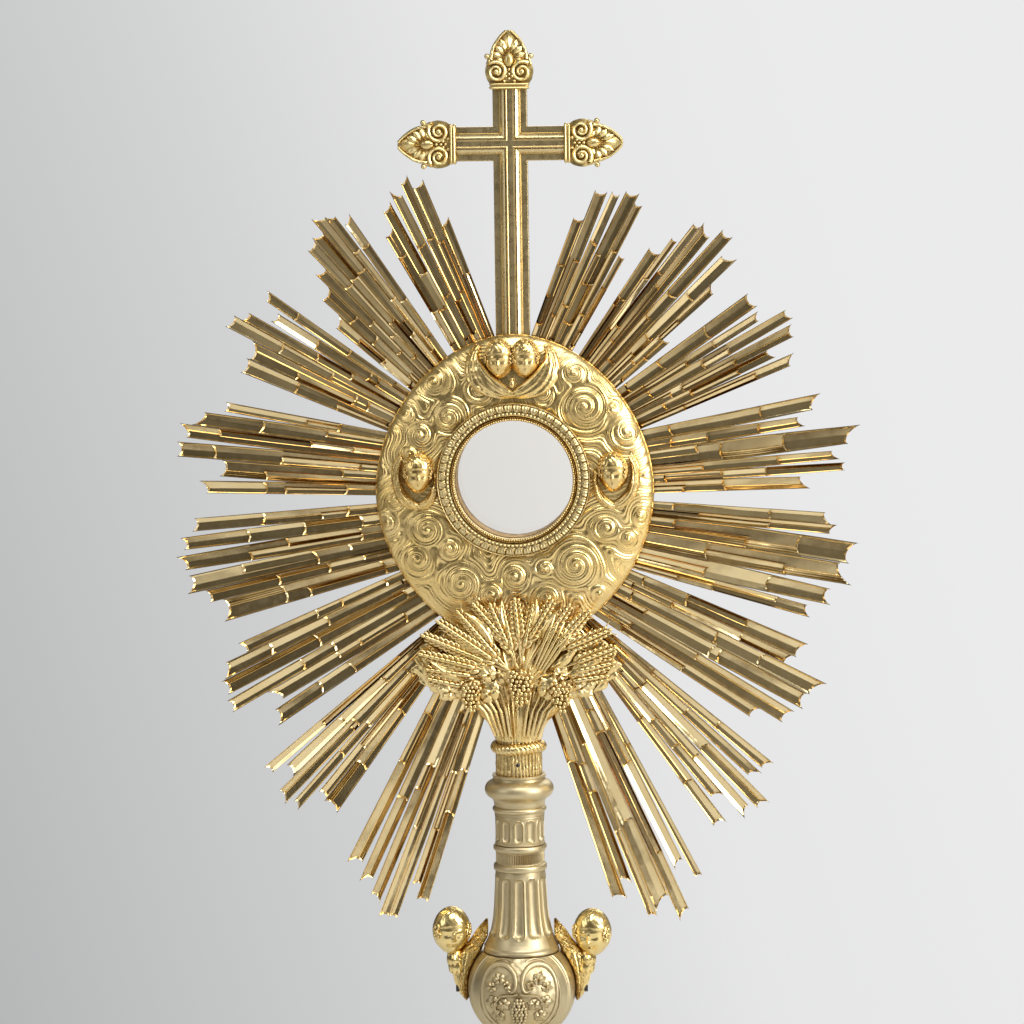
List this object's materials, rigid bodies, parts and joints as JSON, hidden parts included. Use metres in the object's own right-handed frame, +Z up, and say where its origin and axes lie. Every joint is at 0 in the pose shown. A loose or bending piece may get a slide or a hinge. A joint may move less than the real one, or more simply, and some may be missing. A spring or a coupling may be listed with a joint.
{
  "type": "monstrance",
  "caption": "Gilded sunburst monstrance with a glazed round luna in an oval cloud plate, a cross on top, a wheat-sheaf support, a fluted stem and a round domed foot.",
  "frame": {"origin": "centre of the ring that the foot rests on, at floor level", "axes": "+Z up along the stem; the front with the cloud relief faces -Y; +X is to the right seen from the front"},
  "size_m": [0.4061, 0.208, 0.7803],
  "materials": {
    "gilt_brass": "cast and gilded brass, satin with bright high spots and darker hollows",
    "polished_rays": "polished gilt brass with fine lengthwise brush lines",
    "bright_castings": "bright yellow gilding on castings",
    "satin_gilt": "pale satin gilding",
    "antique_gilt": "antique gilding, darker in the hollows",
    "chamber_gilt": "smooth warm gilding",
    "dark_screws": "darkened steel",
    "window_glass": "clear polished glass"
  },
  "bodies": {
    "stand": {"foot_ring": "gilt_brass", "foot_dome": "gilt_brass", "foot_cover": "gilt_brass", "tie_rod": "gilt_brass", "tie_nut": "gilt_brass", "lower_stem": "satin_gilt", "knop": "satin_gilt", "heart_front": "satin_gilt", "heart_back": "satin_gilt", "cherub_left": "gilt_brass", "cherub_right": "gilt_brass", "cherub_screws": "dark_screws", "fluted_stem": "satin_gilt", "reeded_band": "satin_gilt", "fluted_drum": "satin_gilt", "socket_collar": "satin_gilt", "sheaf_shank": "gilt_brass", "rope_tie": "gilt_brass", "sheaf_stalks": "gilt_brass", "wheat_ears": "gilt_brass", "vine_leaves": "gilt_brass", "grape_bunches": "gilt_brass", "cloud_plate": "gilt_brass", "angel_pair": "gilt_brass", "angel_left": "gilt_brass", "angel_right": "gilt_brass", "bezel_ring": "antique_gilt", "bead_ring": "antique_gilt", "chamber_tube": "chamber_gilt", "back_plate": "gilt_brass", "back_nuts": "gilt_brass", "cross_bar": "satin_gilt", "finial_top": "bright_castings", "finial_left": "bright_castings", "finial_right": "bright_castings", "catch_screws": "gilt_brass", "rays_right_1": "polished_rays", "rays_right_2": "polished_rays", "rays_right_3": "polished_rays", "rays_right_4": "polished_rays", "rays_right_5": "polished_rays", "rays_right_6": "polished_rays", "rays_right_7": "polished_rays", "rays_right_8": "polished_rays", "rays_left_1": "polished_rays", "rays_left_2": "polished_rays", "rays_left_3": "polished_rays", "rays_left_4": "polished_rays", "rays_left_5": "polished_rays", "rays_left_6": "polished_rays", "rays_left_7": "polished_rays", "rays_left_8": "polished_rays"},
    "luna": {"luna_case": "chamber_gilt", "luna_glass_front": "window_glass", "lid_pin": "gilt_brass"},
    "lid": {"luna_lid": "chamber_gilt", "luna_glass_rear": "window_glass"},
    "upper_catch": {"catch_upper": "gilt_brass"},
    "lower_catch": {"catch_lower": "gilt_brass"}
  },
  "joints": [
    {"name": "luna_slide", "type": "slide", "parent": "stand", "child": "luna", "axis": [0, 1, 0], "range_m": [0, 0.03]},
    {"name": "lid_hinge", "type": "hinge", "parent": "luna", "child": "lid", "pos_m": [-0.043, 0.0119, 0.515], "axis": [0, 0, 1], "range_deg": [0, 115]},
    {"name": "upper_catch_turn", "type": "hinge", "parent": "stand", "child": "upper_catch", "pos_m": [0, 0.0145, 0.561], "axis": [0, 1, 0], "range_deg": [0, 90]},
    {"name": "lower_catch_turn", "type": "hinge", "parent": "stand", "child": "lower_catch", "pos_m": [0, 0.0145, 0.469], "axis": [0, 1, 0], "range_deg": [0, 90]}
  ]
}
